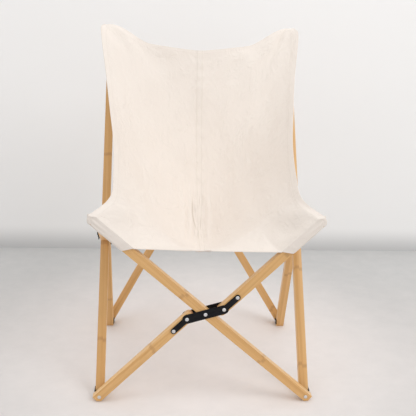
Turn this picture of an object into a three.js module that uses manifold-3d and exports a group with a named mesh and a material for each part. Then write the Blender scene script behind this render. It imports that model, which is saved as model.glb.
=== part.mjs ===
import * as THREE from 'three';
import { mergeVertices } from 'three/addons/utils/BufferGeometryUtils.js';
import Module from 'manifold-3d';

const wasm = await Module();
wasm.setup();

// Frame, in the side planes: y runs back from the front foot pivot, z up
const sideSpan = 520;
const footHeight = 13;
const frontRise = 448;
const postRun = 604;
const postRise = 828;
const legRun = 445.30;
const crossShare = 0.42043;
const railSetback = 18;

// Bars
const barWidth = 22;
const footPast = 7;
const footEnd = 12.5;
const frontFootLift = 2;
const backFootCut = 5.6;
const frontTipReach = 18;
const backTipReach = 40;
const swingClearance = 1.1;
const halfBarStart = 23;

// Steel and rivets
const plateThickness = 2;
const clearance = 0.4;
const armWidth = 14.6;
const hubWidth = 23;
const nearRivet = 41.3;
const farRivet = 86.3;
const rivetRadius = 3.1;
const holeRadius = 3.5;
const headRadius = 4.6;
const headThickness = 1.5;
const washerRadius = 7;
const bracketHeight = 14;
const bracketReach = 11;
const sideBarStart = 29;
const sideArmNear = 40;
const sideArmFar = 66;

// Sling
const clothThickness = 3;
const slingCutShare = 0.62;
const seamGapShare = 0.0005;
const pocketWall = 2;
const pocketClearance = 2.4;
const frontPocketStart = 15.5;
const backPocketStart = 18;
const flapReach = 75;
const backPocketRoom = 36;

// Fineness
const roundSteps = 8;
const holeSteps = 12;
const acrossSteps = 22;
const alongSteps = 34;

const bamboo = { color: 0xcda069, roughness: 0.5, metalness: 0 };
const steel = { color: 0x24262a, roughness: 0.45, metalness: 0.6 };
const zinc = { color: 0xb9bcc0, roughness: 0.3, metalness: 0.9 };
const canvas = { color: 0xf0e8dc, roughness: 0.9, metalness: 0 };

const half = barWidth / 2;
const planeOffset = barWidth + plateThickness + 2 * clearance;
const jog = barWidth + clearance;
const backLean = Math.atan2(postRun - legRun, postRise);
const chair = new THREE.Group();

function addNode(name, geometry, look) {
  const mesh = new THREE.Mesh(geometry, new THREE.MeshStandardMaterial(look));
  mesh.name = name;
  chair.add(mesh);
}

// Solids for joining and cutting
function toSolid(geometry) {
  const bare = geometry.index ? geometry.toNonIndexed() : geometry.clone();
  bare.deleteAttribute('normal');
  bare.deleteAttribute('uv');
  const merged = mergeVertices(bare, 1e-4);
  return new wasm.Manifold(new wasm.Mesh({
    numProp: 3,
    vertProperties: new Float32Array(merged.attributes.position.array),
    triVerts: new Uint32Array(merged.index.array),
  }));
}

function toGeometry(solid) {
  const mesh = solid.getMesh();
  const geometry = new THREE.BufferGeometry();
  geometry.setAttribute('position', new THREE.BufferAttribute(new Float32Array(mesh.vertProperties), 3));
  geometry.setIndex(new THREE.BufferAttribute(new Uint32Array(mesh.triVerts), 1));
  const flat = geometry.toNonIndexed();
  flat.computeVertexNormals();
  return flat;
}

function joined(parts) {
  return toGeometry(parts.map(toSolid).reduce((a, b) => a.add(b)));
}

function cut(body, tools) {
  return toGeometry(tools.map(toSolid).reduce((a, b) => a.subtract(b), toSolid(body)));
}

// Flat pieces are drawn in a plane (p, q) and thickened from n0 to n1 across it
function roundedPath(points, radius, steps) {
  const [a, b] = points;
  const turn = Math.atan2(b.y - a.y, b.x - a.x);
  const path = [];
  for (let i = 0; i <= steps; i += 1) {
    const angle = turn - Math.PI / 2 + Math.PI * i / steps;
    path.push(new THREE.Vector2(b.x + radius * Math.cos(angle), b.y + radius * Math.sin(angle)));
  }
  for (let i = 0; i <= steps; i += 1) {
    const angle = turn + Math.PI / 2 + Math.PI * i / steps;
    path.push(new THREE.Vector2(a.x + radius * Math.cos(angle), a.y + radius * Math.sin(angle)));
  }
  return path;
}

function circlePath(centre, radius, steps) {
  const path = [];
  for (let i = 0; i < steps; i += 1) {
    const angle = -2 * Math.PI * i / steps;
    path.push(new THREE.Vector2(centre.x + radius * Math.cos(angle), centre.y + radius * Math.sin(angle)));
  }
  return path;
}

function thicken(path, holes, n0, n1) {
  const shape = new THREE.Shape(path);
  for (const hole of holes) {
    shape.holes.push(new THREE.Path(circlePath(hole, holeRadius, holeSteps)));
  }
  const geometry = new THREE.ExtrudeGeometry(shape, { depth: n1 - n0, bevelEnabled: false, curveSegments: 1 });
  geometry.translate(0, 0, n0);
  return geometry;
}

// Each cut keeps the part of a convex outline where direction . point <= limit
function trimmed(path, cuts) {
  return cuts.reduce((outline, { direction, limit }) => outline.flatMap((point, i) => {
    const next = outline[(i + 1) % outline.length];
    const here = limit - direction.dot(point);
    const there = limit - direction.dot(next);
    const kept = here >= 0 ? [point] : [];
    return here * there < 0 ? [...kept, point.clone().lerp(next, here / (here - there))] : kept;
  }), path);
}

function bar(a, b, holes, n0, n1, cuts = []) {
  return thicken(trimmed(roundedPath([a, b], half, 2 * roundSteps), cuts), holes, n0, n1);
}

function strip(a, b, width, holes, n0, n1) {
  return thicken(roundedPath([a, b], width / 2, roundSteps), holes, n0, n1);
}

function rivet(centre, n0, n1, headLow, headHigh) {
  const low = headLow ? headThickness : 0;
  const high = headHigh ? headThickness : 0;
  const profile = [[0, n0 - low]];
  if (headLow) {
    profile.push([headRadius * 0.7, n0 - low], [headRadius, n0 - low * 0.4], [headRadius, n0]);
  }
  profile.push([rivetRadius, n0], [rivetRadius, n1]);
  if (headHigh) {
    profile.push([headRadius, n1], [headRadius, n1 + high * 0.4], [headRadius * 0.7, n1 + high]);
  }
  profile.push([0, n1 + high]);
  const geometry = new THREE.LatheGeometry(profile.map(([r, z]) => new THREE.Vector2(r, z)), holeSteps);
  geometry.rotateX(Math.PI / 2);
  geometry.translate(centre.x, centre.y, 0);
  return geometry;
}

// Frames: the columns carry (p, q, n) to the chair's axes
const sideFrame = (x) => new THREE.Matrix4().set(
  0, 0, 1, x,
  1, 0, 0, 0,
  0, 1, 0, 0,
  0, 0, 0, 1,
);

function crossFrame(y, lean) {
  const c = Math.cos(lean);
  const s = Math.sin(lean);
  return new THREE.Matrix4().set(
    -1, 0, 0, 0,
    0, s, c, y,
    0, c, -s, footHeight,
    0, 0, 0, 1,
  );
}

const at = (x, y) => new THREE.Vector2(x, y);
const along = (a, b, distance) => b.clone().sub(a).normalize().multiplyScalar(distance).add(a);

function tangentFrom(foot, centre, offset, side) {
  const reach = foot.distanceTo(centre);
  const turn = side * Math.asin(offset / reach);
  const direction = centre.clone().sub(foot).normalize().rotateAround(at(0, 0), turn);
  const touch = direction.clone().multiplyScalar(Math.sqrt(reach * reach - offset * offset)).add(foot);
  return { direction, touch };
}

// An X of one long bar and two half bars carried past it by jogged plates.
// In its own plane p runs to the left, q up; n is the side it stands on.
function buildCross(prefix, frame, rise, side) {
  const n0 = side * planeOffset - half;
  const n1 = side * planeOffset + half;
  const rightFoot = at(-sideSpan / 2, 0);
  const leftFoot = at(sideSpan / 2, 0);
  const rightTop = at(-sideSpan / 2, rise);
  const leftTop = at(sideSpan / 2, rise);
  const centre = at(0, rise / 2);
  const floorLimit = side > 0 ? backFootCut : footHeight - frontFootLift;
  const squareFoot = (foot, toward) => {
    const outward = foot.clone().sub(toward).normalize();
    const end = { direction: outward, limit: outward.dot(foot) + footEnd };
    return [{ direction: at(0, -1), limit: floorLimit }, end];
  };
  const place = (geometry) => geometry.applyMatrix4(frame);
  const tipReach = side > 0 ? backTipReach : frontTipReach;
  const longTop = along(rightFoot, leftTop, rightFoot.distanceTo(leftTop) + tipReach);
  const longFoot = along(rightFoot, leftTop, -barWidth);
  const longCuts = squareFoot(rightFoot, leftTop);
  const longBar = bar(longFoot, longTop, [rightFoot, centre, leftTop], n0, n1, longCuts);
  addNode(`${prefix}_long_bar`, place(longBar), bamboo);
  const low = tangentFrom(leftFoot, centre, jog, -1);
  const high = tangentFrom(rightTop, centre, jog, -1);
  const rivetSpots = [];
  for (const [name, end, tangent, past] of [['lower', leftFoot, low, barWidth], ['upper', rightTop, high, tipReach]]) {
    const back = (distance) => tangent.touch.clone().addScaledVector(tangent.direction, -distance);
    const near = back(nearRivet);
    const far = back(farRivet);
    rivetSpots.push(near, far);
    const inner = back(halfBarStart + half);
    const outer = end.clone().addScaledVector(tangent.direction, -past);
    const cuts = end === leftFoot ? squareFoot(leftFoot, inner) : [];
    addNode(`${prefix}_${name}_bar`, place(bar(outer, inner, [end, near, far], n0, n1, cuts)), bamboo);
  }
  const [nearLow, farLow, nearHigh, farHigh] = rivetSpots;
  for (const [name, face] of [['outer', side], ['inner', -side]]) {
    const start = side * planeOffset + face * (half + clearance);
    const end = start + face * plateThickness;
    const [p0, p1] = [Math.min(start, end), Math.max(start, end)];
    const plate = joined([
      strip(farLow, nearLow, armWidth, [], p0, p1),
      strip(nearLow, nearHigh, hubWidth, [], p0, p1),
      strip(nearHigh, farHigh, armWidth, [], p0, p1),
    ]);
    const tools = [...rivetSpots, centre].map((spot) => circleTool(spot, p0, p1));
    addNode(`${prefix}_plate_${name}`, place(cut(plate, tools)), steel);
  }
  const reach = half + 2 * clearance + plateThickness;
  const [r0, r1] = [side * planeOffset - reach, side * planeOffset + reach];
  for (const [i, spot] of rivetSpots.entries()) {
    addNode(`${prefix}_plate_rivet_${i + 1}`, place(rivet(spot, r0, r1, true, true)), zinc);
  }
  addNode(`${prefix}_center_rivet`, place(rivet(centre, r0, r1, true, true)), zinc);
  const corners = { left_foot: leftFoot, right_foot: rightFoot, left_top: leftTop, right_top: rightTop };
  for (const [name, spot] of Object.entries(corners)) {
    buildBracket(`${prefix}_${name}`, frame, spot, side, spot.x < 0);
  }
}

function circleTool(spot, n0, n1) {
  const geometry = new THREE.CylinderGeometry(holeRadius, holeRadius, 3 * (n1 - n0), holeSteps);
  geometry.rotateX(Math.PI / 2);
  geometry.translate(spot.x, spot.y, (n0 + n1) / 2);
  return geometry;
}

// An angle bracket: one leg between the X and the side bar, one leg on the side bar's face
const openCorners = ['back_left_foot', 'back_left_top', 'back_right_top'];

function buildBracket(name, frame, spot, side, right) {
  const out = right ? -1 : 1;
  const outward = side < 0 ? out : -out;
  const setback = side < 0 && spot.y > 0 ? railSetback : 0;
  const faceStart = side * (half + clearance);
  const faceEnd = faceStart + side * plateThickness;
  const legStart = spot.x + outward * (half + clearance);
  const legEnd = legStart + outward * plateThickness;
  const inner = spot.x - outward * bracketReach;
  const depthEnd = -side * (bracketReach + setback);
  const q0 = spot.y - bracketHeight / 2;
  const q1 = spot.y + bracketHeight / 2;
  const face = block(inner, legEnd, q0, q1, faceStart, faceEnd);
  const leg = block(legStart, legEnd, q0, q1, faceEnd, depthEnd);
  const sideTool = new THREE.CylinderGeometry(holeRadius, holeRadius, 3 * barWidth, holeSteps);
  sideTool.rotateZ(Math.PI / 2);
  sideTool.translate(spot.x, spot.y, -side * setback);
  const faceTool = circleTool(spot, Math.min(faceStart, faceEnd), Math.max(faceStart, faceEnd));
  const body = cut(joined([face, leg]), [sideTool, faceTool]);
  addNode(`${name}_bracket`, body.applyMatrix4(frame), steel);
  const sideEnd = setback ? half : half + 2 * clearance + plateThickness;
  const sideRivet = rivet(at(0, 0), -half - clearance, sideEnd, true, !setback);
  sideRivet.rotateY(outward * Math.PI / 2);
  sideRivet.translate(spot.x, spot.y, -side * setback);
  addNode(`${name}_side_rivet`, sideRivet.applyMatrix4(frame), zinc);
  if (!openCorners.includes(name)) {
    const ends = [side * (half + 2 * clearance), side * (planeOffset + half + clearance)];
    const faceRivet = rivet(spot, Math.min(...ends), Math.max(...ends), side < 0, side > 0);
    addNode(`${name}_face_rivet`, faceRivet.applyMatrix4(frame), zinc);
  }
}

function block(x0, x1, y0, y1, z0, z1) {
  const geometry = new THREE.BoxGeometry(Math.abs(x1 - x0), Math.abs(y1 - y0), Math.abs(z1 - z0));
  geometry.translate((x0 + x1) / 2, (y0 + y1) / 2, (z0 + z1) / 2);
  return geometry;
}

// A side: post, rear leg and seat rail on one pivot
function buildSide(prefix, x) {
  const frame = sideFrame(x);
  const place = (geometry) => geometry.applyMatrix4(frame);
  const foot = at(0, footHeight);
  const top = at(postRun, footHeight + postRise);
  const pivot = foot.clone().lerp(top, crossShare);
  const rearFoot = at(legRun, footHeight);
  const front = at(railSetback, footHeight + frontRise);
  const floorCut = { direction: at(0, -1), limit: 0 };
  const bracketCut = { direction: at(-1, 0), limit: half - swingClearance };
  const backNormal = at(Math.cos(backLean), -Math.sin(backLean));
  const backCut = { direction: backNormal, limit: backNormal.dot(rearFoot) + half - swingClearance };
  const postEnd = along(foot, top, -footPast);
  const post = bar(postEnd, top, [foot, pivot, top], -half, half, [floorCut, bracketCut]);
  addNode(`${prefix}_post`, place(post), bamboo);
  const pieces = [
    ['leg', rearFoot, half + clearance, 'leg', footPast, [floorCut]],
    ['rail', front, half + 2 * clearance + plateThickness, 'seat_rail', 0, []],
  ];
  for (const [name, end, layer, barName, past, cuts] of pieces) {
    const tangent = tangentFrom(end, pivot, jog, -1);
    const back = (distance) => tangent.touch.clone().addScaledVector(tangent.direction, -distance);
    const spots = [back(sideArmNear), back(sideArmFar)];
    const outer = end.clone().addScaledVector(tangent.direction, -past);
    const body = bar(outer, back(sideBarStart), [end, ...spots], -half, half, past ? [...cuts, backCut] : cuts);
    addNode(`${prefix}_${barName}`, place(body), bamboo);
    buildSidePlates(`${prefix}_${name}`, place, pivot, spots, layer);
  }
  const reach = half + 3 * clearance + 2 * plateThickness;
  addNode(`${prefix}_pivot_rivet`, place(rivet(pivot, -reach, reach, true, true)), zinc);
}

// Plate a carries its two riveted studs; both carry the washers that space them from the bar
function buildSidePlates(name, place, pivot, spots, layer) {
  const [near, far] = spots;
  for (const [face, sign] of [['a', 1], ['b', -1]]) {
    const n0 = Math.min(sign * layer, sign * (layer + plateThickness));
    const parts = [
      strip(pivot, near, hubWidth, [], n0, n0 + plateThickness),
      strip(near, far, armWidth, [], n0, n0 + plateThickness),
    ];
    const low = half + clearance;
    if (layer > low) {
      const ends = [sign * low, sign * (layer + plateThickness / 2)];
      for (const spot of spots) {
        const disc = circlePath(spot, washerRadius, holeSteps).reverse();
        parts.push(thicken(disc, [], Math.min(...ends), Math.max(...ends)));
      }
    }
    if (sign > 0) {
      const studEnd = layer + plateThickness;
      parts.push(...spots.map((spot) => rivet(spot, -studEnd - clearance, studEnd, true, true)));
    }
    const holes = sign > 0 ? [pivot] : [pivot, near, far];
    const tools = holes.map((spot) => circleTool(spot, n0 - layer, n0 + layer));
    addNode(`${name}_plate_${face}`, place(cut(joined(parts), tools)), steel);
  }
}

// Sling: a sheet hung between four corners, with a pocket over each bar tip
const vec = (x, y, z) => new THREE.Vector3(x, y, z);

// Lines down the sling's edge and middle: shares of the span, then of each X's run and rise
const edgeBackShares = [
  [1.085, 1.053, 1.069], [1.1, 0.967, 1.052], [1.035, 0.778, 0.908], [0.973, 0.596, 0.816],
];
const edgeSeatShares = [
  [0.915, 0.561, 1.357], [0.892, 0.292, 1.223], [0.908, 0.09, 1.141], [1.081, -0.054, 1.092],
];
const middleBackShares = [[0, 0.98, 1.005], [0, 0.904, 0.86], [0, 0.808, 0.676], [0, 0.682, 0.519]];
const middleSeatShares = [[0, 0.685, 0.786], [0, 0.404, 0.75], [0, 0.189, 0.804], [0, 0.018, 0.884]];
const sagShare = 1.6;
const topSagLossShare = 0.6;
const topSagShare = 0.25;
const frontSagGainShare = 1.5;
const frontSagShare = 0.3;

function slingLine(backShares, seatShares) {
  const back = backShares.map(([x, y, z]) => vec(x * sideSpan / 2, y * postRun, z * postRise));
  const seat = seatShares.map(([x, y, z]) => vec(x * sideSpan / 2, y * legRun, z * frontRise));
  return new THREE.CatmullRomCurve3([...back, ...seat]);
}

const edgeLine = slingLine(edgeBackShares, edgeSeatShares);
const middleLine = slingLine(middleBackShares, middleSeatShares);

function sheetPoint(u, v) {
  const across = 2 * u - 1;
  const edge = edgeLine.getPoint(v);
  const middle = middleLine.getPoint(v);
  const nearTop = Math.max(0, 1 - v / topSagShare);
  const nearFront = Math.max(0, 1 - (1 - v) / frontSagShare);
  const power = sagShare - topSagLossShare * nearTop + frontSagGainShare * nearFront * nearFront;
  const share = Math.abs(across) ** power;
  return vec(across * edge.x, middle.y + (edge.y - middle.y) * share, middle.z + (edge.z - middle.z) * share);
}

function sheetNormal(u, v) {
  const step = 0.004;
  const [u0, u1] = [Math.max(u - step, 0), Math.min(u + step, 1)];
  const [v0, v1] = [Math.max(v - step, 0), Math.min(v + step, 1)];
  const du = sheetPoint(u1, v).sub(sheetPoint(u0, v));
  const dv = sheetPoint(u, v1).sub(sheetPoint(u, v0));
  return dv.cross(du).normalize();
}

function sheet(v0, v1, rows) {
  const columns = acrossSteps + 1;
  const positions = [];
  const index = [];
  for (const face of [1, 0]) {
    for (let j = 0; j <= rows; j += 1) {
      for (let i = 0; i <= acrossSteps; i += 1) {
        const u = i / acrossSteps;
        const v = v0 + (v1 - v0) * j / rows;
        const point = sheetPoint(u, v).addScaledVector(sheetNormal(u, v), face ? 0 : -clothThickness);
        positions.push(point.x, point.y, point.z);
      }
    }
  }
  const spot = (face, i, j) => face * columns * (rows + 1) + j * columns + i;
  const quad = (a, b, c, d) => index.push(a, b, c, a, c, d);
  for (let j = 0; j < rows; j += 1) {
    for (let i = 0; i < acrossSteps; i += 1) {
      quad(spot(0, i, j), spot(0, i, j + 1), spot(0, i + 1, j + 1), spot(0, i + 1, j));
      quad(spot(1, i, j), spot(1, i + 1, j), spot(1, i + 1, j + 1), spot(1, i, j + 1));
    }
    quad(spot(0, 0, j), spot(1, 0, j), spot(1, 0, j + 1), spot(0, 0, j + 1));
    const [i, next] = [acrossSteps, j + 1];
    quad(spot(0, i, j), spot(0, i, next), spot(1, i, next), spot(1, i, j));
  }
  for (let i = 0; i < acrossSteps; i += 1) {
    quad(spot(0, i, 0), spot(0, i + 1, 0), spot(1, i + 1, 0), spot(1, i, 0));
    quad(spot(0, i, rows), spot(1, i, rows), spot(1, i + 1, rows), spot(0, i + 1, rows));
  }
  const geometry = new THREE.BufferGeometry();
  geometry.setAttribute('position', new THREE.Float32BufferAttribute(positions, 3));
  geometry.setIndex(index);
  return geometry;
}

// A pocket is a capped sleeve over a bar tip, with a flap along the front X's upper and outer faces
function pocket(origin, direction, side) {
  const start = side > 0 ? backPocketStart : frontPocketStart;
  const end = (side > 0 ? backTipReach : frontTipReach) + half + pocketClearance;
  const reach = side > 0 ? backPocketRoom : flapReach;
  const up = Math.sign(direction.x);
  const normal = vec(0, 0, 1);
  const third = normal.clone().cross(direction).multiplyScalar(up);
  const frame = new THREE.Matrix4().makeBasis(direction, third, normal.multiplyScalar(up)).setPosition(origin);
  const inner = half + pocketClearance;
  const outer = inner + pocketWall;
  const face = up * side;
  const shells = [block(start, end + pocketWall, -outer, outer, -outer, outer)];
  if (side < 0) {
    shells.push(block(-reach, start, -outer, outer, face * inner, face * outer));
    shells.push(block(-reach, start, inner, outer, 0, face * outer));
  }
  const room = block(-reach, end, -inner, inner, -inner, inner);
  return { shells: shells.map((shell) => shell.applyMatrix4(frame)), room: room.applyMatrix4(frame) };
}

function slingPart(v0, v1, rows, pockets) {
  const sheetSolid = toSolid(sheet(v0, v1, rows));
  const whole = pockets.reduce((solid, part) => solid.add(toSolid(joined(part.shells))), sheetSolid);
  const open = pockets.reduce((solid, part) => solid.subtract(toSolid(part.room)), whole);
  return toGeometry(open);
}

function crossPockets(frame, rise, side) {
  const upper = tangentFrom(at(-sideSpan / 2, rise), at(0, rise / 2), jog, -1).direction.negate();
  const tips = [[at(-sideSpan / 2, rise), upper], [at(sideSpan / 2, rise), at(sideSpan, rise).normalize()]];
  return tips.map(([spot, d]) => {
    const parts = pocket(vec(spot.x, spot.y, side * planeOffset), vec(d.x, d.y, 0), side);
    const shells = parts.shells.map((shell) => shell.applyMatrix4(frame));
    return { shells, room: parts.room.applyMatrix4(frame) };
  });
}

function buildSling() {
  const backRows = Math.round(alongSteps * slingCutShare);
  const backPockets = crossPockets(backFrame, backRise, 1);
  const frontPockets = crossPockets(frontFrame, frontRise, -1);
  addNode('sling_back', slingPart(0, slingCutShare - seamGapShare, backRows, backPockets), canvas);
  addNode('sling_seat', slingPart(slingCutShare, 1, alongSteps - backRows, frontPockets), canvas);
}

const backRise = Math.hypot(postRun - legRun, postRise);
const frontFrame = crossFrame(0, 0);
const backFrame = crossFrame(legRun, backLean);
buildCross('front', frontFrame, frontRise, -1);
buildCross('back', backFrame, backRise, 1);
buildSide('left', -sideSpan / 2);
buildSide('right', sideSpan / 2);
buildSling();

chair.updateMatrixWorld(true);
const bounds = new THREE.Box3().setFromObject(chair, true);
const middle = bounds.getCenter(new THREE.Vector3());
for (const mesh of chair.children) {
  mesh.geometry.translate(-middle.x, -middle.y, -bounds.min.z);
}

export default chair;
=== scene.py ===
import math
import random

import bmesh
import bpy
from mathutils import Matrix, Vector


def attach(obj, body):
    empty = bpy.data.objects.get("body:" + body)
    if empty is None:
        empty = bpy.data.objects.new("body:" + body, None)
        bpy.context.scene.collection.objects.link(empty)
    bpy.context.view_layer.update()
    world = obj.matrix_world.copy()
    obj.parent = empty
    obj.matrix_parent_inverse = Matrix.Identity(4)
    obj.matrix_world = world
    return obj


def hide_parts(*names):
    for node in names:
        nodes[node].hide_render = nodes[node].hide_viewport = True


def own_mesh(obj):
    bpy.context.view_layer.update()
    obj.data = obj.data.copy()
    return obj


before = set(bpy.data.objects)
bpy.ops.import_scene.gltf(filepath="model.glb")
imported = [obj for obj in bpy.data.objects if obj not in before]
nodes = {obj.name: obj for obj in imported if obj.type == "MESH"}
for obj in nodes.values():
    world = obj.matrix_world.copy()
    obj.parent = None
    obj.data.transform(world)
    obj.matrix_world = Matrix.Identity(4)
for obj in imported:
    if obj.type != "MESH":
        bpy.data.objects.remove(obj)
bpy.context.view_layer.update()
scene = bpy.context.scene
mmPerMetre = 1000  # the camera, the bars' lines and the sling are given in mm
shift = Vector((0.000905, -0.306912, 0))  # from between the front feet to the part's own origin
sharpAngle = math.radians(50)  # an edge that turns more than this is rounded or kept crisp
weldReach = 0.00001  # joins the loose triangles of a CAD node

print("stage: camera and studio")

cameraView = {
    "focal": 853.4, "imageWidth": 416, "place": (-123.25, -1972.2, 1050.85),
    "yaw": 0.0629, "pitch": 0.2732, "roll": 0.0286, "sensor": 36, "clipEnd": 50,
}


def buildCamera(v):
    cosYaw, sinYaw = math.cos(v["yaw"]), math.sin(v["yaw"])
    cosPitch, sinPitch = math.cos(v["pitch"]), math.sin(v["pitch"])
    ahead = Vector((sinYaw * cosPitch, cosYaw * cosPitch, -sinPitch))
    right = Vector((cosYaw, -sinYaw, 0))
    up = right.cross(ahead)
    rolledRight = math.cos(v["roll"]) * right + math.sin(v["roll"]) * up
    rolledUp = -math.sin(v["roll"]) * right + math.cos(v["roll"]) * up
    data = bpy.data.cameras.new("photoCamera")
    data.sensor_width = v["sensor"]
    data.lens = v["focal"] * v["sensor"] / v["imageWidth"]
    data.clip_end = v["clipEnd"]
    camera = bpy.data.objects.new("photoCamera", data)
    turn = Matrix((rolledRight, rolledUp, -ahead)).transposed()
    camera.matrix_world = Matrix.Translation(Vector(v["place"]) / mmPerMetre + shift) @ turn.to_4x4()
    scene.collection.objects.link(camera)
    scene.camera = camera


buildCamera(cameraView)


class Wire:  # wraps one output socket so that patterns read as arithmetic
    def __init__(self, tree, socket):
        self.tree, self.socket = tree, socket

    def node(self, kind, inputs=(), out=0, **settings):
        made = self.tree.nodes.new(kind)
        for key, value in settings.items():
            setattr(made, key, value)
        for key, value in dict(inputs).items():
            target = made.inputs[key]
            if isinstance(value, Wire):
                self.tree.links.new(value.socket, target)
            else:
                target.default_value = value
        return Wire(self.tree, made.outputs[out])

    def math(self, operation, other=0.0):
        return self.node("ShaderNodeMath", {0: self, 1: other}, operation=operation)

    def __add__(self, other):
        return self.math("ADD", other)

    def __radd__(self, other):
        return self.math("ADD", other)

    def __sub__(self, other):
        return self.math("SUBTRACT", other)

    def __rsub__(self, other):
        return self.node("ShaderNodeMath", {0: other, 1: self}, operation="SUBTRACT")

    def __mul__(self, other):
        if isinstance(other, tuple):
            return self.node("ShaderNodeVectorMath", {0: self, 1: other}, operation="MULTIPLY")
        return self.math("MULTIPLY", other)

    def __rmul__(self, other):
        return self.math("MULTIPLY", other)

    def __truediv__(self, other):
        return self.math("DIVIDE", other)

    def absolute(self):
        return self.math("ABSOLUTE")

    def length(self):
        return self.node("ShaderNodeVectorMath", {0: self}, out=1, operation="LENGTH")

    def dot(self, vector):
        return self.node("ShaderNodeVectorMath", {0: self, 1: vector}, out=1, operation="DOT_PRODUCT")

    def smooth(self, low, high):
        sockets = {0: self, 1: low, 2: high}
        return self.node("ShaderNodeMapRange", sockets, interpolation_type="SMOOTHSTEP")

    def line(self, at, fade):  # 1 at this value, and 0 past the fade on either side
        return 1.0 - (self - at).absolute().smooth(*fade)

    def mix(self, first, second):
        def colour(value):
            return value if isinstance(value, Wire) else (*value, 1)
        sockets = {0: self, 6: colour(first), 7: colour(second)}
        return self.node("ShaderNodeMix", sockets, out=2, data_type="RGBA")


def newMaterial(name):
    material = bpy.data.materials.new(name)
    material.use_nodes = True
    tree = material.node_tree
    shader = tree.nodes["Principled BSDF"]
    place = tree.nodes.new("ShaderNodeTexCoord")
    return material, shader, Wire(tree, place.outputs["Object"]), Wire(tree, place.outputs["UV"])


def plug(shader, name, wire):
    wire.tree.links.new(wire.socket, shader.inputs[name])


def joinVector(x, y, z=0.0):
    return x.node("ShaderNodeCombineXYZ", {0: x, 1: y, 2: z})


def noiseOn(vector, scale, detail, rough=0.55):  # the looks give a noise by these numbers
    sockets = {"Vector": vector, "Scale": scale, "Detail": detail, "Roughness": rough}
    return vector.node("ShaderNodeTexNoise", sockets)


def bumpFrom(height, strength, distance, under=None):
    sockets = {"Height": height, "Strength": strength, "Distance": distance}
    if under is not None:
        sockets["Normal"] = under
    return height.node("ShaderNodeBump", sockets)


def addObject(name, mesh, material):
    data = bpy.data.meshes.new(name)
    mesh.to_mesh(data)
    mesh.free()
    made = bpy.data.objects.new(name, data)
    data.materials.append(material)
    scene.collection.objects.link(made)
    return made


# near is a painted pool of light around the chair's front; middle and far grow darker towards the wall
floorLook = {
    "near": (0.925, 0.878, 0.864), "middle": (0.63, 0.61, 0.60), "far": (0.57, 0.57, 0.565),
    "lightPoolShape": (1, 0.8, 1), "lightPoolFade": (0.15, 0.75), "farFrom": -0.1, "farBeforeWall": 0.33,
    "grain": (1.2, 5), "cloud": (3.0, 4), "mottle": (16, 6, 0.7), "tooth": (90, 2),
    "lightPoolPart": 0.9, "grainPart": 0.10, "cloudPart": 0.12, "mottlePart": 0.35,
    "roughness": 0.9, "bump": (0.05, 0.002),
}


def floorMaterial(wallAt):
    look = floorLook
    material, shader, spot, _ = newMaterial("studioFloor")
    grain = noiseOn(spot, *look["grain"])
    depth = spot.dot((0, 1, 0)).smooth(look["farFrom"], wallAt - look["farBeforeWall"])
    cloud = noiseOn(spot, *look["cloud"]) * look["cloudPart"]
    mottle = (noiseOn(spot, *look["mottle"]) - 0.5) * look["mottlePart"]
    # painted light: a pool of light painted brighter around the chair's front, over a tone that grows
    # darker towards the wall
    near = 1.0 - (spot * look["lightPoolShape"]).length().smooth(*look["lightPoolFade"])
    outer = (depth + cloud).mix(look["middle"], look["far"])
    brightness = near * look["lightPoolPart"] + grain * look["grainPart"] + mottle
    plug(shader, "Base Color", brightness.mix(outer, look["near"]))
    shader.inputs["Roughness"].default_value = look["roughness"]
    plug(shader, "Normal", bumpFrom(noiseOn(spot, *look["tooth"]), *look["bump"]))
    return material


# foot is the painted shade colour where the wall meets the floor
wallLook = {
    "foot": (0.62, 0.62, 0.62), "grey": (0.95, 0.945, 0.94), "pale": (0.975, 0.97, 0.965),
    "footShadeFade": (-0.01, 0.10), "grain": (0.7, 3), "roughness": 0.95,
}


def wallMaterial():  # seen from the front only, so that views from behind look through it
    look = wallLook
    material, shader, spot, _ = newMaterial("studioWall")
    # painted shade: the wall is darker at its foot, where it meets the floor
    foot = spot.dot((0, 0, 1)).smooth(*look["footShadeFade"])
    tone = noiseOn(spot, *look["grain"]).mix(look["grey"], look["pale"])
    plug(shader, "Base Color", foot.mix(look["foot"], tone))
    shader.inputs["Roughness"].default_value = look["roughness"]
    clear = spot.node("ShaderNodeBsdfTransparent")
    fromBehind = spot.node("ShaderNodeNewGeometry", out="Backfacing")
    shown = Wire(spot.tree, shader.outputs[0])
    cover = spot.node("ShaderNodeMixShader", {0: fromBehind, 1: shown, 2: clear})
    plug(material.node_tree.nodes["Material Output"], "Surface", cover)
    return material


studio = {
    "floorSize": 14, "floorSink": 0.0005, "wallAt": 1.18, "wallSink": 0.001, "world": 0.77,
    "lampAim": (0, 0, 0.45),
    "lamps": [  # name, place, size and power
        ("keyLamp", (2.1, -2.1, 2.7), 2.0, 28),
        ("fillLamp", (-2.3, -2.0, 2.2), 2.2, 6),
        ("topLamp", (0.1, -0.2, 3.2), 2.6, 17),
    ],
}


def buildStudio(s):
    half = s["floorSize"] / 2
    upright = Matrix.Rotation(math.pi / 2, 3, "X")
    flats = (
        ("studioFloor", floorMaterial(s["wallAt"]), Matrix.Identity(3), (0, 0, -s["floorSink"])),
        ("studioWall", wallMaterial(), upright, (0, s["wallAt"] + shift.y, half - s["wallSink"])),
    )
    for name, material, turn, place in flats:
        mesh = bmesh.new()
        bmesh.ops.create_grid(mesh, x_segments=2, y_segments=2, size=half)
        bmesh.ops.rotate(mesh, verts=mesh.verts, matrix=turn)
        bmesh.ops.translate(mesh, verts=mesh.verts, vec=place)
        addObject(name, mesh, material)


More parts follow.
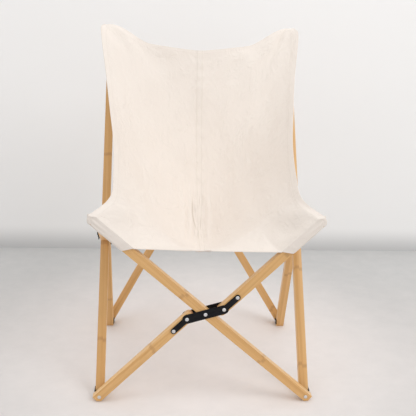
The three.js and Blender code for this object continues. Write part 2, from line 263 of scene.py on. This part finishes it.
def lightStudio(s):
    for name, place, size, power in s["lamps"]:
        lamp = bpy.data.lights.new(name, "AREA")
        lamp.shape = "DISK"
        lamp.size = size
        lamp.energy = power
        holder = bpy.data.objects.new(name, lamp)
        holder.location = place
        ray = Vector(s["lampAim"]) - Vector(place)
        holder.rotation_euler = ray.to_track_quat("-Z", "Y").to_euler()
        scene.collection.objects.link(holder)
    world = bpy.data.worlds.new("studioAir")
    scene.world = world
    world.use_nodes = True
    background = world.node_tree.nodes["Background"]
    background.inputs["Color"].default_value = (1, 1, 1, 1)
    background.inputs["Strength"].default_value = s["world"]
    scene.view_settings.view_transform = "Standard"


buildStudio(studio)
lightStudio(studio)

print("stage: bamboo, steel and rivets")

bambooLook = {
    "pale": (0.92, 0.60, 0.285), "deep": (0.635, 0.345, 0.112), "band": (0.42, 0.20, 0.065),
    "fibre": (3.0, 420, 3), "streak": (1.2, 130, 2),  # scale along, scale across, detail
    "grainStart": 9,
    "stripWidth": 0.0055, "strandWidth": 0.011, "toneStart": 50,
    "streakTone": 0.22, "fibreTone": 0.4, "stripTone": 0.3, "toneSpan": (0.2, 0.8), "toneGain": 0.55,
    # this line sets the painted shade on the bars' front and back faces
    "sideShadeSpan": (0.45, 0.85), "sideShadeGain": 0.50,
    "bandGap": 0.26, "bandHalf": 0.0034, "bandFade": (0.4, 2.2), "bandShow": (0.24, 0.36),
    "wander": (30, 2), "wanderReach": 0.0012, "strandReach": 0.012,
    "smoothest": 0.36, "roughSpread": 0.16, "coat": 0.25, "coatRoughness": 0.25,
    "fibreRelief": 0.5, "bandRelief": 0.8, "bump": (0.22, 0.0005), "firstSeed": 3, "seedStep": 7,
}


def drawnNoise(axes, start, stretch, fineness, detail):  # noise drawn out along the bar
    along, wide, deep = axes
    return noiseOn(joinVector(along * stretch + start, wide * fineness, deep * fineness), 1.0, detail)


def stripNoise(place, width, start):  # one random tone for each strip of this width
    strip = (place / width).math("FLOOR")
    return strip.node("ShaderNodeTexWhiteNoise", {"W": strip + start}, noise_dimensions="1D")


def bambooMaterial(name, direction, across, seed):
    look = bambooLook
    rng = random.Random(seed)
    material, shader, spot, _ = newMaterial(name)
    axes = [spot.dot(tuple(axis)) for axis in (direction, across, direction.cross(across))]
    along, wide, deep = axes
    fibre = drawnNoise(axes, rng.uniform(0, look["grainStart"]), *look["fibre"])
    streak = drawnNoise(axes, rng.uniform(0, look["grainStart"]), *look["streak"])
    strips = stripNoise(wide + deep, look["stripWidth"], rng.uniform(0, look["toneStart"]))
    strands = stripNoise(wide - deep, look["strandWidth"], rng.uniform(0, look["toneStart"]))
    wander = noiseOn(spot, *look["wander"]) * look["wanderReach"]
    gap = look["bandGap"]
    phase = ((along + wander + strands * look["strandReach"] + rng.uniform(0, gap)) / gap).math("FRACT")
    low, high = look["bandFade"]
    middle = (phase - 0.5).absolute() * gap
    band = 1.0 - middle.smooth(look["bandHalf"] * low, look["bandHalf"] * high)
    tone = streak * look["streakTone"] + fibre * look["fibreTone"] + strips * look["stripTone"]
    facing = spot.node("ShaderNodeTexCoord", out="Normal").dot((0, 1, 0)).absolute()
    sideShade = facing.smooth(*look["sideShadeSpan"])  # painted shade: the front and back faces are painted deeper than the top and bottom ones
    shade = tone.smooth(*look["toneSpan"]) * look["toneGain"] + sideShade * look["sideShadeGain"]
    least, more = look["bandShow"]
    wood = shade.mix(look["pale"], look["deep"])
    plug(shader, "Base Color", (band * (least + more * fibre)).mix(wood, look["band"]))
    plug(shader, "Roughness", fibre * look["roughSpread"] + look["smoothest"])
    shader.inputs["Coat Weight"].default_value = look["coat"]
    shader.inputs["Coat Roughness"].default_value = look["coatRoughness"]
    relief = fibre * look["fibreRelief"] + band * look["bandRelief"]
    plug(shader, "Normal", bumpFrom(relief, *look["bump"]))
    return material


metalLooks = {
    "blackSteel": {
        "first": (0.004, 0.0045, 0.006), "second": (0.009, 0.0095, 0.012), "patches": (60, 5),
        "patchSpan": (0.45, 0.75), "grain": (900, 3), "smoothest": 0.46, "roughSpread": 0.16,
        "bump": (0.12, 0.0003), "sockets": {"Specular IOR Level": 0.2},
    },
    "rivetZinc": {
        "first": (0.66, 0.67, 0.68), "second": (0.78, 0.78, 0.79), "patches": (260, 2),
        "patchSpan": None, "grain": (1400, 3), "smoothest": 0.24, "roughSpread": 0.18,
        "bump": (0.08, 0.0002), "sockets": {"Metallic": 0.95},
    },
}


def metalMaterial(name):
    look = metalLooks[name]
    material, shader, spot, _ = newMaterial(name)
    grain = noiseOn(spot, *look["grain"])
    patches = noiseOn(spot, *look["patches"])
    if look["patchSpan"]:
        patches = patches.smooth(*look["patchSpan"])
    plug(shader, "Base Color", patches.mix(look["first"], look["second"]))
    plug(shader, "Roughness", look["smoothest"] + look["roughSpread"] * grain)
    for socket, value in look["sockets"].items():
        shader.inputs[socket].default_value = value
    plug(shader, "Normal", bumpFrom(grain, *look["bump"]))
    return material


steelMaterial, rivetMaterial = metalMaterial("blackSteel"), metalMaterial("rivetZinc")
barBevel = {"width": 0.0014, "segments": 3}
plateBevel = {"width": 0.0004, "segments": 2}


def shadeFaces(node, smoothly):
    for face in node.data.polygons:
        face.use_smooth = smoothly


def softenEdges(node, b):
    weld = node.modifiers.new("joinTriangles", "WELD")
    weld.merge_threshold = weldReach
    bevel = node.modifiers.new("softEdge", "BEVEL")
    bevel.width = b["width"]
    bevel.segments = b["segments"]
    bevel.limit_method = "ANGLE"
    bevel.angle_limit = sharpAngle
    bevel.harden_normals = True
    shadeFaces(node, True)


def barDirection(node):
    points = [node.matrix_world @ v.co for v in node.data.vertices]
    return (max(points, key=lambda p: p.z) - min(points, key=lambda p: p.z)).normalized()


def barMaterial(name, node, seed):  # the grain runs along the bar
    direction = barDirection(node)
    side = Vector((0, 1, 0)) if name.endswith("bar") else Vector((1, 0, 0))
    across = (side - direction * side.dot(direction)).normalized()
    return bambooMaterial("bamboo_" + name, direction, across, seed)


def dressFrame():
    for i, (name, node) in enumerate(sorted(nodes.items())):
        if name.startswith("sling"):
            continue
        node.data.materials.clear()
        if name.endswith(("bar", "_post", "_leg", "seat_rail")):
            seed = i * bambooLook["seedStep"] + bambooLook["firstSeed"]
            node.data.materials.append(barMaterial(name, node, seed))
            softenEdges(node, barBevel)
        elif "rivet" in name:
            node.data.materials.append(rivetMaterial)
            shadeFaces(node, False)
        else:
            node.data.materials.append(steelMaterial)
            softenEdges(node, plateBevel)


dressFrame()

print("stage: sling")

frameLines = {  # the frame's own layout, in mm
    "span": 520, "footHeight": 13, "frontRise": 448, "postRun": 604, "postRise": 828, "legRun": 445.3,
    "planeOffset": 24.8, "jog": 22.4,
}


def tipLine(side, right):  # pivot, outward direction, depth and lift of an X bar's upper end, in metres
    f = frameLines
    lean = math.atan2(f["postRun"] - f["legRun"], f["postRise"]) if side > 0 else 0
    rise = math.hypot(f["postRun"] - f["legRun"], f["postRise"]) if side > 0 else f["frontRise"]
    up = Vector((0, math.sin(lean), math.cos(lean)))
    back = Vector((0, math.cos(lean), -math.sin(lean)))
    foot = Vector((0, f["legRun"] if side > 0 else 0, f["footHeight"]))
    sign = 1 if right else -1
    top = foot + Vector((sign * f["span"] / 2, 0, 0)) + up * rise + back * side * f["planeOffset"]
    reach = math.hypot(f["span"], rise) / 2
    angle = math.atan2(rise, f["span"]) + (math.asin(f["jog"] / reach) if right else 0)
    direction = Vector((sign, 0, 0)) * math.cos(angle) + up * math.sin(angle)
    lift = direction.cross(back)
    return top / mmPerMetre + shift, direction, back, lift if lift.z > 0 else -lift


slingForm = {  # edge and middle run from the top to the front, in mm, and the other lengths are in metres
    "edge": [(285, 636, 885), (290, 582, 876), (269, 470, 752), (253, 360, 676),
             (238, 250, 608), (232, 130, 548), (236, 40, 511), (281, -24, 489)],
    "middle": [(0, 590, 816), (0, 546, 706), (0, 488, 560), (0, 412, 430),
               (0, 305, 352), (0, 180, 336), (0, 84, 360), (0, 0, 396)],
    "sagPower": 1.6, "topSagGain": 0.2, "topSagShare": 0.25,
    "topFrom": 0.5, "topTo": 0.94, "topDip": (0.5, 1.15), "topFade": 0.14,
    "cutShare": 0.62, "across": 150, "along": 230, "thick": 0.0016,
    "topCorner": (0.050, 0.135), "frontCorner": (0.014, 0.012),
    "hemFlat": 0.6, "hemFrom": 0.8, "hemBow": (0, 0.006, -0.003),
    "foldReach": (-0.100, 0.0345), "foldLift": 0.0137, "foldDepth": 0.0148,
    "tipDrop": 0.0115, "tipDropFrom": 0.015,
    "slopeStep": 0.003, "valleyStep": 0.006, "valleyGain": 1400, "patternSize": (0.66, 1.28),
}


def throughPoints(points, share):  # centripetal curve through the points
    spots = [Vector(p) for p in points]
    spots = [2 * spots[0] - spots[1], *spots, 2 * spots[-1] - spots[-2]]
    place = min(max(share, 0), 1) * (len(points) - 1)
    i = min(int(place), len(points) - 2)
    t = place - i
    p0, p1, p2, p3 = spots[i:i + 4]
    d0, d1, d2 = (max((b - a).length ** 0.5, 1e-4) for a, b in ((p0, p1), (p1, p2), (p2, p3)))
    m1 = ((p1 - p0) / d0 - (p2 - p0) / (d0 + d1) + (p2 - p1) / d1) * d1
    m2 = ((p2 - p1) / d1 - (p3 - p1) / (d1 + d2) + (p3 - p2) / d2) * d1
    a, b = 2 * p1 - 2 * p2 + m1 + m2, -3 * p1 + 3 * p2 - 2 * m1 - m2
    return a * t ** 3 + b * t ** 2 + m1 * t + p1


def smooth(low, high, value):
    t = max(0, min(1, (value - low) / (high - low)))
    return t * t * (3 - 2 * t)


def bell(value, width):
    return math.exp(-(value / width) ** 2)


def wave(u, v, alongU, alongV, start):
    return math.sin(alongU * u + alongV * v + start)


def liftAt(along):  # the fold drops past the bar's end
    s = slingForm
    return s["foldLift"] - s["tipDrop"] * smooth(s["tipDropFrom"], s["foldReach"][1], along)


def foldPoint(right, share):  # along the bar's upper front edge, where the seat folds down into the flap
    s = slingForm
    top, direction, back, lift = tipLine(-1, right)
    start, end = s["foldReach"]
    along = start + (end - start) * share
    return top + direction * along + lift * liftAt(along) - back * s["foldDepth"]


def hemPoint(across):
    s = slingForm
    flat = s["hemFlat"]
    if abs(across) > flat:
        return foldPoint(across > 0, (abs(across) - flat) / (1 - flat))
    t = (across / flat + 1) / 2
    spot = foldPoint(False, 0).lerp(foldPoint(True, 0), t)
    return spot + Vector(s["hemBow"]) * math.sin(math.pi * t)


def rounded(u, v, corner, top):  # pulls the sheet's corner in to a quarter round
    sizeU, sizeV = corner
    du, dv = min(u, 1 - u) / sizeU, (v if top else 1 - v) / sizeV
    if du >= 1 or dv >= 1:
        return u, v
    p, q = 1 - du, 1 - dv
    share = max(p, q) / max(math.hypot(p, q), 1e-6)
    du, dv = 1 - p * share, 1 - q * share
    u = du * sizeU if u < 0.5 else 1 - du * sizeU
    return u, dv * sizeV if top else 1 - dv * sizeV


def plainPoint(across, v):
    s = slingForm
    edge, middle = throughPoints(s["edge"], v), throughPoints(s["middle"], v)
    share = abs(across) ** (s["sagPower"] + s["topSagGain"] * max(0, 1 - v / s["topSagShare"]))
    nearTop = 1 - smooth(0, s["topFade"], v)
    dip = s["topDip"][0] * abs(across) ** s["topDip"][1]
    ear = dip + (1 - dip) * smooth(s["topFrom"], s["topTo"], abs(across))
    raised = share + (ear - share) * nearTop
    depth = middle.y + (edge.y - middle.y) * share
    height = middle.z + (edge.z - middle.z) * raised
    return Vector((across * edge.x, depth, height)) / mmPerMetre + shift


def slingPoint(u, v):  # u runs from side to side, v from the top to the front
    s = slingForm
    atTop = v < 0.5
    u, v = rounded(u, v, s["topCorner"] if atTop else s["frontCorner"], atTop)
    across = 2 * u - 1
    drop = smooth(s["hemFrom"], 1, v)
    spot = plainPoint(across, v)
    return spot + (hemPoint(across) - plainPoint(across, 1)) * drop if drop > 0 else spot


foldForm = {  # heights and what is measured from the seam or an edge are in metres, the rest in shares
    "halfWidth": 0.26, "edgeWidth": 0.53,
    "seamHeight": 0.0016, "seamHalf": 0.008,
    "hemHeight": 0.0008, "hemWidth": 0.016, "hemStep": 0.002,
    "gathers": [(-0.028, 0.006, 0.0035), (0.022, 0.006, 0.0026), (-0.05, 0.009, 0.0025)],
    "gatherFrom": (0.38, 0.48), "gatherTo": (0.6, 0.7), "swayReach": 0.003, "swayTurns": 22,
    "rippleHeight": 0.0005, "rippleHalf": 0.02, "rippleTurns": 150, "rippleTo": (0.93, 0.985),
    "drapes": [  # height, then turns along u and v and start of two waves
        (0.0036, (9, 5, 1.3), (2.0, 4.1, 0)),
        (0.0022, (19, -9, 0), (0, 13, 0.7)),
        (0.0012, (41, 17, 0), (-11, 29, 0)),
    ],
    "drapeEdge": 0.05, "calmFrom": 0.06, "calmTo": 0.95,
    "pulls": [(0.0035, 0.9, 0.09, 30, 22), (0.003, 0, 0.12, 34, -40)],  # height, place, half, turns
    "pullReach": 0.2, "pullEdge": 0.02,
    "earLine": (0.96, 0.62), "earFade": 0.17, "earFrom": 0.03,
    "earRidge": (0.0016, 0.034, 0.016), "earHollow": (0.0036, 0.018),
}


def gatherHeight(across, v):
    f = foldForm
    sway = f["swayReach"] * math.sin(v * f["swayTurns"])
    here = smooth(*f["gatherFrom"], v) * (1 - smooth(*f["gatherTo"], v))
    return here * sum(height * bell(across + sway - place, half) for place, half, height in f["gathers"])


def earHeight(u, v):  # a hollow and a ridge beside it run down from the right ear
    f = foldForm
    start, slant = f["earLine"]
    line = start - slant * v
    ridge, beside, ridgeHalf = f["earRidge"]
    hollow, hollowHalf = f["earHollow"]
    here = bell(v, f["earFade"]) * smooth(0, f["earFrom"], v)
    return here * (ridge * bell(u - line - beside, ridgeHalf) - hollow * bell(u - line, hollowHalf))


def foldHeight(u, v):  # folds, seam and hems, in metres above the plain sheet
    f = foldForm
    across = (2 * u - 1) * f["halfWidth"]
    near = min(u, 1 - u)
    edge = near * f["edgeWidth"]
    seam = f["seamHeight"] * math.exp(-(across / f["seamHalf"]) ** 4)
    ripple = f["rippleHeight"] * bell(across, f["rippleHalf"]) * math.sin(v * f["rippleTurns"])
    drape = sum(height * wave(u, v, *first) * wave(u, v, *second) for height, first, second in f["drapes"])
    pull = sum(height * bell(near, f["pullReach"]) * wave(near, v - place, turns, slant, 0)
               * bell(v - place, half) for height, place, half, turns, slant in f["pulls"])
    hem = f["hemHeight"] * (1 - min(1, max(0, (edge - f["hemWidth"]) / f["hemStep"])))
    calm = smooth(0, f["calmFrom"], v) * (1 - smooth(f["calmTo"], 1, v))
    return seam + gatherHeight(across, v) + ripple * (1 - smooth(*f["rippleTo"], v)) + earHeight(u, v) \
        + drape * min(1, edge / f["drapeEdge"]) * calm + pull * min(1, edge / f["pullEdge"]) * calm + hem


def finishCloth(name, mesh, outward, thickness):  # one skin made a thin closed cloth, with crisp cut edges
    bmesh.ops.recalc_face_normals(mesh, faces=mesh.faces)
    if sum(f.normal.dot(Vector(outward)) * f.calc_area() for f in mesh.faces) < 0:
        bmesh.ops.reverse_faces(mesh, faces=mesh.faces)
    bmesh.ops.solidify(mesh, geom=mesh.faces[:], thickness=thickness)
    bmesh.ops.recalc_face_normals(mesh, faces=mesh.faces)
    for face in mesh.faces:
        face.smooth = True
    for edge in mesh.edges:
        edge.smooth = edge.calc_face_angle(0) < sharpAngle
    return addObject(name, mesh, canvasMaterial)


def layPattern(mesh, places):  # the pattern's place at each vertex
    uvLayer = mesh.loops.layers.uv.new("cloth")
    for face in mesh.faces:
        for loop in face.loops:
            loop[uvLayer].uv = places[loop.vert]


def valleyAt(u, v):  # how far the sheet lies below what is round about, for the creases' shade
    s = slingForm
    step = s["valleyStep"]
    sides = foldHeight(u + step, v) + foldHeight(u - step, v)
    ends = foldHeight(u, v + step) + foldHeight(u, v - step)
    return max(-1, min(1, ((sides + ends) / 4 - foldHeight(u, v)) * s["valleyGain"]))


def foldedPoint(u, v):
    step = slingForm["slopeStep"]
    du = slingPoint(min(u + step, 1), v) - slingPoint(max(u - step, 0), v)
    dv = slingPoint(u, min(v + step, 1)) - slingPoint(u, max(v - step, 0))
    normal = dv.cross(du).normalized() if dv.cross(du).length > 0 else Vector((0, 0, 1))
    return slingPoint(u, v) + normal * foldHeight(u, v)


def buildSling(name, v0, v1, rows):
    s = slingForm
    width, length = s["patternSize"]
    mesh = bmesh.new()
    bmesh.ops.create_grid(mesh, x_segments=s["across"], y_segments=rows, size=0.5)
    valley = mesh.verts.layers.float.new("valley")
    places = {}
    for vert in mesh.verts:
        u, v = vert.co.x + 0.5, v0 + (v1 - v0) * (0.5 - vert.co.y)
        vert[valley] = valleyAt(u, v)
        vert.co = foldedPoint(u, v)
        places[vert] = ((u - 0.5) * width, v * length)
    layPattern(mesh, places)
    return finishCloth(name, mesh, (0, 0, 1), s["thick"])


# crease is the painted shade colour for the creases, and edge the painted shadow colour beside the seam
# ridge and along the hems
canvasLook = {
    "cream": (0.87, 0.80, 0.735), "shade": (0.83, 0.75, 0.68), "fleck": (0.66, 0.57, 0.44),
    "thread": (0.88, 0.83, 0.74), "crease": (0.50, 0.42, 0.34), "edge": (0.55, 0.48, 0.39),
    "weave": 0.0011, "wobble": (140, 3), "wobbleGain": 3.0,
    "slub": (900, 30, 2), "slubSpan": (0.62, 0.78), "cloud": (9, 5),
    "flecks": (1500, 1), "fleckSpan": (0.74, 0.80), "fleckShow": 0.5,
    "cloudTone": 0.6, "weaveTone": 0.25, "slubTone": 0.15, "roughness": 0.86, "roughSpread": 0.1,
    "sheen": 0.12, "sheenRoughness": 0.6, "bump": (0.5, 0.0006),
    "weaveRelief": 0.5, "slubRelief": 0.3, "cloudRelief": 0.4, "stitchRelief": 1.2,
}
creaseLook = {
    "tucks": (240, 8, 1), "tuckSway": (21, 0.5), "tuckSpan": (0.5, 0.66), "tuckAt": -0.006,
    "tuckFade": (0.004, 0.03), "tuckFrom": (0.50, 0.60), "tuckTo": (0.76, 0.84),
    "foldAt": -0.0285, "foldSlant": 0.013, "foldSlantSpan": (0.65, 0.76), "foldFade": (0.0008, 0.0050),
    "foldFrom": (0.56, 0.64), "foldTo": (0.70, 0.76), "valleySpan": (0.05, 1.0),
    # this line sets how much painted shade the valleys, tucks and fold get, and their bump
    "valleyShade": 0.38, "tuckShade": 0.42, "foldShade": 0.5, "tuckRelief": 1.6, "foldRelief": 2.5,
    "rumple": (26, 11, 3), "rumpleSpan": (0.0, 0.22), "rumpleBump": (0.55, 0.0022),
    "swayAcross": (7, 2), "swayAcrossReach": 2.2, "swayAlong": (5, 2), "swayAlongReach": 2.0,
}
stitchLook = {
    "seamAt": 0.0065, "seamFade": (0.0004, 0.0010), "pitch": 0.0045, "gap": 0.36, "gapFade": (0.0, 0.05),
    "ridgeAt": 0.0085, "ridgeFade": (0.0003, 0.0018), "ridgeShadow": 0.22,
    "hemAt": 0.0155, "hemFade": (0.0005, 0.0018), "hemShadow": 0.10,
}


def tuckPattern(x, y):  # fine tucks beside the centre seam, a mask for painted shade in the colour and for the bump
    c = creaseLook
    turns, reach = c["tuckSway"]
    scaleX, scaleY, detail = c["tucks"]
    swayed = x * scaleX + (y * turns).math("SINE") * reach
    tucks = noiseOn(joinVector(swayed, y * scaleY), 1.0, detail)
    here = x.line(c["tuckAt"], c["tuckFade"]) * y.smooth(*c["tuckFrom"]) * (1.0 - y.smooth(*c["tuckTo"]))
    return tucks.smooth(*c["tuckSpan"]) * here


def foldPattern(x, y):  # the one deep fold beside the seam, a mask for painted shade in the colour and for the bump
    c = creaseLook
    drift = y.smooth(*c["foldSlantSpan"]) * c["foldSlant"]
    return (x - drift).line(c["foldAt"], c["foldFade"]) * y.smooth(*c["foldFrom"]) \
        * (1.0 - y.smooth(*c["foldTo"]))


def rumpleBump(uv, x, y):
    c = creaseLook
    scaleX, scaleY, detail = c["rumple"]
    swayX = noiseOn(uv, *c["swayAcross"]) * c["swayAcrossReach"]
    swayY = noiseOn(uv, *c["swayAlong"]) * c["swayAlongReach"]
    wrinkle = noiseOn(joinVector(x * scaleX + swayX, y * scaleY + swayY), 1.0, detail)
    return bumpFrom((wrinkle - 0.5).absolute().smooth(*c["rumpleSpan"]), *c["rumpleBump"])


def stitchPattern(x, y):  # two rows of stitches, and the painted shadow beside the seam and the hems
    t = stitchLook
    width, length = slingForm["patternSize"]
    gap = ((y / t["pitch"]).math("FRACT") - t["gap"]).smooth(*t["gapFade"])
    stitches = x.absolute().line(t["seamAt"], t["seamFade"]) * (1.0 - gap)
    rim = (width / 2 - x.absolute()).math("MINIMUM", y).math("MINIMUM", length - y)
    ridge = x.absolute().line(t["ridgeAt"], t["ridgeFade"])
    return stitches, ridge * t["ridgeShadow"] + rim.line(t["hemAt"], t["hemFade"]) * t["hemShadow"]


def canvasCloth():
    look, c = canvasLook, creaseLook
    material, shader, _, uv = newMaterial("creamCanvas")
    x = uv.node("ShaderNodeSeparateXYZ", {0: uv})
    y = Wire(x.tree, x.socket.node.outputs[1])
    wobble = noiseOn(uv, *look["wobble"]) * look["wobbleGain"]
    turns = 2 * math.pi / look["weave"]
    weave = (x * turns + wobble).math("SINE") * (y * turns + wobble).math("SINE") * 0.5 + 0.5
    scaleX, scaleY, detail = look["slub"]
    slub = noiseOn(joinVector(x * scaleX, y * scaleY), 1.0, detail).smooth(*look["slubSpan"])
    cloud = noiseOn(uv, *look["cloud"])
    flecks = noiseOn(uv, *look["flecks"]).smooth(*look["fleckSpan"]) * look["fleckShow"]
    tucks, fold = tuckPattern(x, y), foldPattern(x, y)
    stitches, shadow = stitchPattern(x, y)
    valley = uv.node("ShaderNodeAttribute", out="Fac", attribute_name="valley").smooth(*c["valleySpan"])
    tone = cloud * look["cloudTone"] + weave * look["weaveTone"] + slub * look["slubTone"]
    cloth = flecks.mix(tone.mix(look["cream"], look["shade"]), look["fleck"])
    # painted shade: the cloth is darkened in the valleys, tucks and fold, and beside the seam ridge and
    # along the hems
    creaseShade = valley * c["valleyShade"] + tucks * c["tuckShade"] + fold * c["foldShade"]
    colour = shadow.mix(creaseShade.mix(cloth, look["crease"]), look["edge"])
    plug(shader, "Base Color", stitches.mix(colour, look["thread"]))
    plug(shader, "Roughness", look["roughness"] + look["roughSpread"] * weave)
    shader.inputs["Sheen Weight"].default_value = look["sheen"]
    shader.inputs["Sheen Roughness"].default_value = look["sheenRoughness"]
    relief = weave * look["weaveRelief"] + slub * look["slubRelief"] + cloud * look["cloudRelief"] \
        + stitches * look["stitchRelief"] - shadow - tucks * c["tuckRelief"] - fold * c["foldRelief"]
    plug(shader, "Normal", bumpFrom(relief, *look["bump"], rumpleBump(uv, x, y)))
    return material


canvasMaterial = canvasCloth()
backRows = round(slingForm["along"] * slingForm["cutShare"])
slingBack = buildSling("slingBackCloth", 0, slingForm["cutShare"], backRows)
slingSeat = buildSling("slingSeatCloth", slingForm["cutShare"], 1, slingForm["along"] - backRows)

print("stage: pockets")

pocketForm = {  # start, roundAt and mouthFlare are for the front pockets, then for the back ones
    "inner": 0.0118, "wall": 0.0016, "start": (0.0157, 0.018), "roundAt": (0.018, 0.040), "sides": 32,
    "straightRings": 4, "roundRings": 9, "roundTo": 80, "mouthFlare": (0.0, 0.14), "squareness": 0.45,
    "crease": 0.0004, "creaseTurns": (9, 3), "tipThin": 0.0012, "patternAt": (0.09, 0.4),
}


def pocketRings(p, behind):  # how far out each ring lies and how wide it is
    start, turn, outer = p["start"][behind], p["roundAt"][behind], p["inner"] + p["wall"]
    rings = [(start + (turn - start) * i / p["straightRings"], outer) for i in range(p["straightRings"])]
    for i in range(p["roundRings"] + 1):
        angle = math.radians(p["roundTo"]) * i / p["roundRings"]
        rings.append((turn + outer * math.sin(angle), outer * math.cos(angle)))
    return rings, start, turn + outer, outer


def buildPocket(name, side, right):  # a sewn cap that follows the rounded end of the bar
    p = pocketForm
    top, direction, back, inward = tipLine(side, right)
    behind = 1 if side > 0 else 0
    rings, start, end, outer = pocketRings(p, behind)
    mesh = bmesh.new()
    loops = []
    for away, size in rings:
        t = (away - start) / (end - start)
        circle = bmesh.ops.create_circle(mesh, segments=p["sides"], radius=1)["verts"]
        flare = 1 + p["mouthFlare"][behind] * (1 - t) ** 2
        for vert in circle:
            angle = math.atan2(vert.co.y, vert.co.x)
            c, n = math.cos(angle), math.sin(angle)
            a = math.copysign(abs(c) ** p["squareness"], c)
            b = math.copysign(abs(n) ** p["squareness"], n)
            crease = p["crease"] * math.sin(p["creaseTurns"][0] * t + p["creaseTurns"][1] * angle)
            vert.co = top + direction * away + inward * (a * size * flare + c * crease) \
                + back * (b * (outer + crease - p["tipThin"] * t ** 4))
        loops.append(list({e for v in circle for e in v.link_edges}))
    for first, second in zip(loops, loops[1:]):
        bmesh.ops.bridge_loops(mesh, edges=first + second)
    cap = bmesh.ops.holes_fill(mesh, edges=loops[-1], sides=0)["faces"]
    bmesh.ops.poke(mesh, faces=cap)
    bmesh.ops.recalc_face_normals(mesh, faces=mesh.faces)
    bmesh.ops.solidify(mesh, geom=mesh.faces[:], thickness=p["wall"])
    bmesh.ops.recalc_face_normals(mesh, faces=mesh.faces)
    for face in mesh.faces:
        face.smooth = True
    places = {}
    for vert in mesh.verts:
        away = vert.co - top
        places[vert] = (away.dot(inward) + away.dot(back) + p["patternAt"][0],
                        away.dot(direction) + p["patternAt"][1])
    layPattern(mesh, places)
    return addObject(name, mesh, canvasMaterial)


flapForm = {
    "low": -0.0135, "lowFrom": -0.080, "round": 0.014, "steps": 60, "rows": 26,
    "tuckDepth": 0.022, "tuckReach": 0.014, "tuckPower": 1.6, "curlDepth": 0.008, "curlFrom": 0.25,
    "bulge": 0.0010, "bulgeTurns": 3.0, "bulgeStart": 0.4,
    "crease": 0.0009, "creaseTurns": (520, 1.5), "creaseFrom": (0.35, 0.8), "patternAt": (0.2, 0.1),
}


def buildFlap(name, right):  # the gusset that hides the front X's upper end
    p, s = flapForm, slingForm
    top, direction, back, lift = tipLine(-1, right)
    acrossTurns, alongTurns = p["creaseTurns"]
    mesh = bmesh.new()
    bmesh.ops.create_grid(mesh, x_segments=p["steps"], y_segments=p["rows"], size=0.5)
    places = {}
    for vert in mesh.verts:
        a, b = vert.co.x + 0.5, vert.co.y + 0.5
        start = p["lowFrom"] + (s["foldReach"][0] - p["lowFrom"]) * b
        end = s["foldReach"][1] - p["round"] * (1 - b) ** 2
        along = start + (end - start) * a
        height = p["low"] + (liftAt(along) - p["low"]) * b
        tuck = p["tuckDepth"] * smooth(end - p["tuckReach"], end, along) ** p["tuckPower"]
        curl = p["curlDepth"] * smooth(p["curlFrom"], 0, b) ** 2
        bulge = p["bulge"] * math.sin(math.pi * b) * math.sin(p["bulgeTurns"] * a + p["bulgeStart"])
        crease = p["crease"] * math.sin(height * acrossTurns + alongTurns * a) \
            * smooth(*p["creaseFrom"], a) * math.sin(math.pi * b)
        places[vert] = (along + p["patternAt"][0], height + p["patternAt"][1])
        depth = s["foldDepth"] + bulge + crease - tuck - curl
        vert.co = top + direction * along + lift * height - back * depth
    layPattern(mesh, places)
    return finishCloth(name, mesh, (0, -1, 0), pocketForm["wall"])


cloths = [  # piece, the CAD node it replaces, its body, back 1 or front -1, flat size and area
    (slingBack, "sling_back", "right_post_body", 1, (0.75, 0.625), 0.361),
    (slingSeat, "sling_seat", "right_rail_body", -1, (0.735, 0.27), 0.181),
]


def hangSling():
    for piece, node, body, side, flat, area in cloths:
        place = "Back" if side > 0 else "Front"
        extras = []
        for right in (True, False):
            hand = place + ("Right" if right else "Left")
            made = [buildPocket("pocket" + hand, side, right)]
            if side < 0:
                made.append(buildFlap("flap" + hand, right))
            for part in made:
                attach(part, place.lower() + ("_halves" if right else "_bar"))
            extras += made
        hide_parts(node)
        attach(piece, body)
        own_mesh(piece)
        bars = [place.lower() + "_long_bar", place.lower() + "_upper_bar"]


hangSling()
